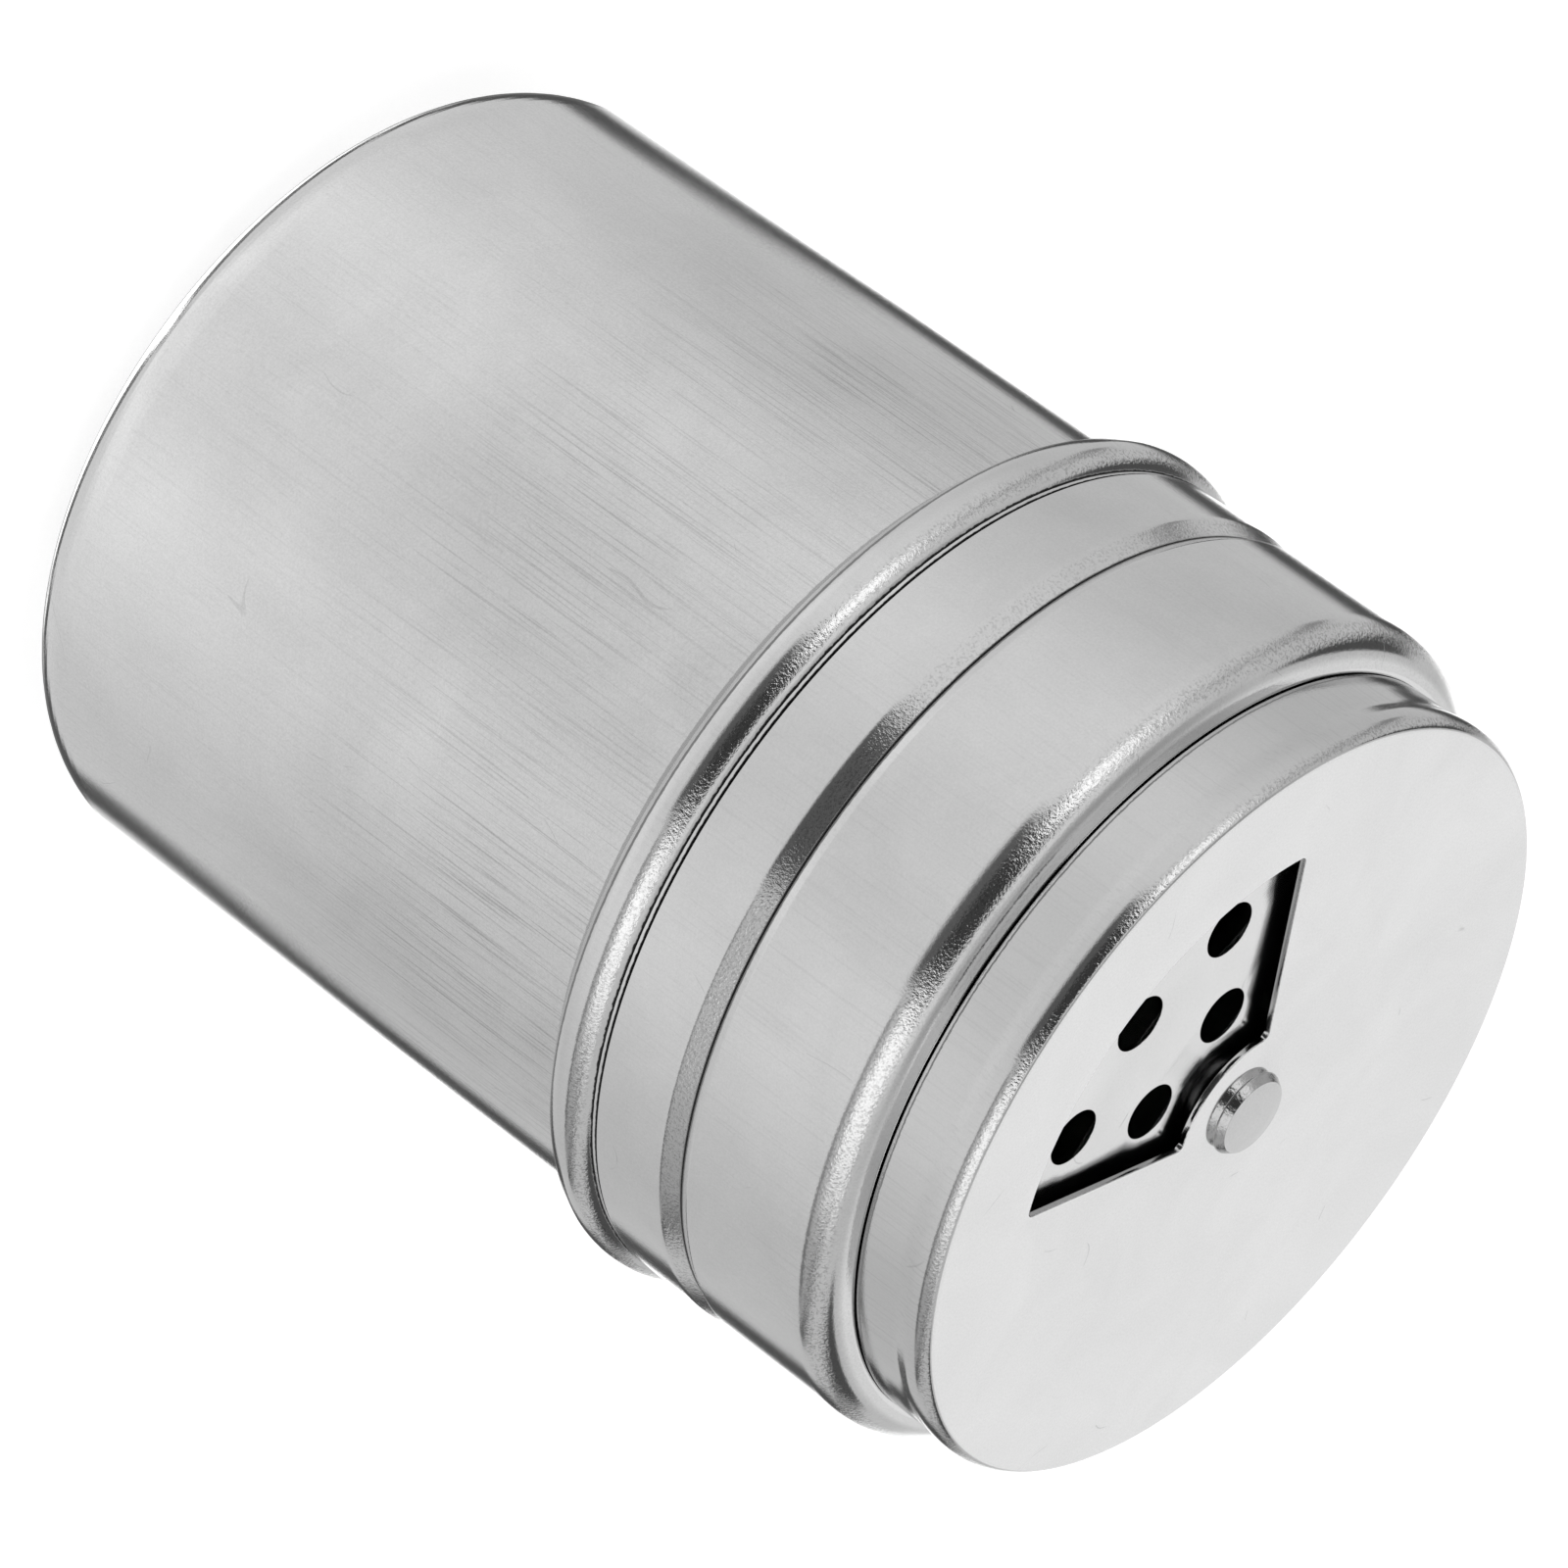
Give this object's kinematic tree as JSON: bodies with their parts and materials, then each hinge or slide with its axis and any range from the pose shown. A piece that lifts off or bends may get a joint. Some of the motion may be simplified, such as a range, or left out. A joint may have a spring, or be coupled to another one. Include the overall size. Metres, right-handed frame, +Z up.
{
  "type": "spice shaker",
  "caption": "Steel spice shaker: a drawn can under a screw lid, with a rotating cap whose sector window opens over patterns of pouring holes.",
  "frame": {"origin": "centre of the base plane, on the can's axis", "axes": "+Z up the can's axis towards the cap, -Y towards the pour window at rest"},
  "size_m": [0.0642, 0.0642, 0.0857],
  "materials": {
    "can_steel": "fine lengthwise brushing, satin",
    "lid_steel": "satin, polished over the bends",
    "cap_steel": "even satin with faint hairline scratches",
    "rivet_steel": "tumbled bright metal",
    "liner_plastic": "natural white moulding",
    "seal_rubber": "soft translucent white"
  },
  "bodies": {
    "can": {"can_body": "can_steel"},
    "seal": {"seal_gasket": "seal_rubber"},
    "lid": {"collar_ring": "lid_steel", "lid_shell": "lid_steel", "thread_liner": "liner_plastic", "rivet": "rivet_steel", "head_washer": "rivet_steel", "spacer_washer": "rivet_steel", "back_washer": "rivet_steel"},
    "cap": {"rotating_cap": "cap_steel"}
  },
  "joints": [
    {"name": "lid_rise", "type": "slide", "parent": "can", "child": "seal", "axis": [0, 0, 1], "range_m": [0, 0.0045]},
    {"name": "lid_turn", "type": "hinge", "parent": "seal", "child": "lid", "pos_m": [0, 0, 0.07], "axis": [0, 0, 1], "range_deg": [0, 540]},
    {"name": "cap_turn", "type": "hinge", "parent": "lid", "child": "cap", "pos_m": [0, 0, 0.084], "axis": [0, 0, 1], "continuous": true}
  ],
  "couplings": [
    {"joint": "lid_rise", "follows": "lid_turn", "m_per_rad": 0.00047746}
  ]
}
